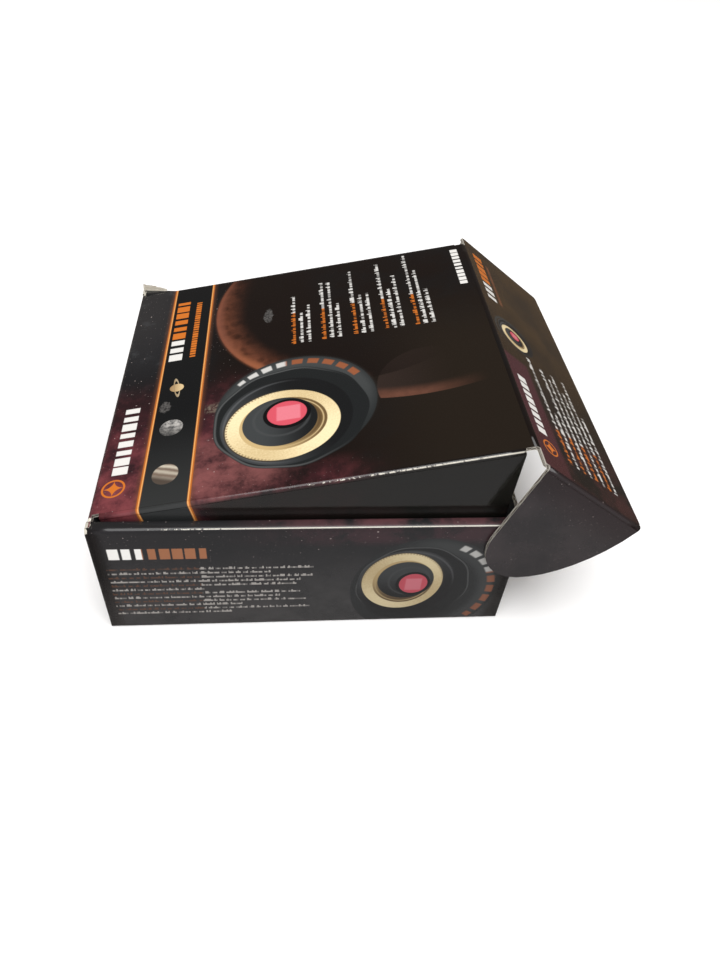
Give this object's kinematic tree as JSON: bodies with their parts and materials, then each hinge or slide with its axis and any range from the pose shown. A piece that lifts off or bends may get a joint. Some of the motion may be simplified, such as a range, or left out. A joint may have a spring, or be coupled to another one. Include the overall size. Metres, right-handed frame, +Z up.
{
  "type": "boxed guide camera",
  "caption": "Printed retail carton for a guide camera, lid raised on its crease, with the round camera and its nosepiece in a foam insert inside.",
  "frame": {"origin": "centre of the carton's bottom face, on the surface that it lies on", "axes": "+X from the hinge wall towards the end that the lid opens, +Y towards the far side wall, +Z up out of the carton"},
  "size_m": [0.2047, 0.1656, 0.0921],
  "materials": {
    "printed_board": "gloss",
    "insert_foam": "matte",
    "black_anodised": "satin",
    "grip_rubber": "matte",
    "brass": "satin",
    "bright_steel": "satin",
    "chrome": "polished",
    "window_glass": "gloss",
    "clear_glass": "gloss",
    "circuit_board": "satin",
    "sensor_ceramic": "matte",
    "black_plastic": "matte"
  },
  "bodies": {
    "tray": {"tray_floor": "printed_board", "hinge_wall": "printed_board", "front_wall": "printed_board", "hinge_wall_near_ear": "printed_board", "hinge_wall_far_ear": "printed_board", "front_wall_near_ear": "printed_board", "front_wall_far_ear": "printed_board", "near_side_wall": "printed_board", "far_side_wall": "printed_board", "foam_base": "insert_foam", "foam_tray": "insert_foam"},
    "lid": {"lid_panel": "printed_board", "lid_near_dust_flap": "printed_board", "lid_far_dust_flap": "printed_board"},
    "front_panel": {"lid_front_panel": "printed_board"},
    "near_ear": {"near_lock_ear": "printed_board"},
    "far_ear": {"far_lock_ear": "printed_board"},
    "camera": {"camera_rear_shell": "black_anodised", "camera_front_bezel": "black_anodised", "case_seal": "grip_rubber", "camera_grip_band": "grip_rubber", "filter_cell": "black_anodised", "filter_window": "window_glass", "window_retaining_ring": "bright_steel", "usb_board": "circuit_board", "board_header": "black_plastic", "sensor_board": "circuit_board", "image_sensor": "sensor_ceramic", "sensor_cover_glass": "clear_glass", "usb_port": "bright_steel", "case_screw_1": "bright_steel", "case_screw_2": "bright_steel", "case_screw_3": "bright_steel", "board_standoff_1": "bright_steel", "board_standoff_2": "bright_steel", "board_standoff_3": "bright_steel", "board_nut_1": "bright_steel", "board_nut_2": "bright_steel", "board_nut_3": "bright_steel"},
    "adapter_ring": {"adapter_ring": "brass"},
    "nosepiece": {"nosepiece": "chrome"}
  },
  "joints": [
    {"name": "lid_hinge", "type": "hinge", "parent": "tray", "child": "lid", "pos_m": [-0.07925, 0, 0.05825], "axis": [0, -1, 0], "range_deg": [-12, 168]},
    {"name": "front_panel_hinge", "type": "hinge", "parent": "lid", "child": "front_panel", "pos_m": [0.07765, 0, 0.0916], "axis": [0, -1, 0], "range_deg": [-42, 48]},
    {"name": "near_ear_hinge", "type": "hinge", "parent": "front_panel", "child": "near_ear", "pos_m": [0.07765, -0.08205, 0.0916], "axis": [-0.809, 0, 0.5878], "range_deg": [0, 90]},
    {"name": "far_ear_hinge", "type": "hinge", "parent": "front_panel", "child": "far_ear", "pos_m": [0.07765, 0.08205, 0.0916], "axis": [0.809, 0, -0.5878], "range_deg": [0, 90]},
    {"name": "camera_lift", "type": "slide", "parent": "tray", "child": "camera", "axis": [0, 0, 1], "range_m": [0, 0.0312]},
    {"name": "adapter_ring_turn", "type": "hinge", "parent": "camera", "child": "adapter_ring", "pos_m": [0.034, 0.026, 0.0427], "axis": [0, 0, 1], "range_deg": [0, 360]},
    {"name": "nosepiece_lift", "type": "slide", "parent": "tray", "child": "nosepiece", "axis": [0, 0, 1], "range_m": [0, 0.033]}
  ]
}
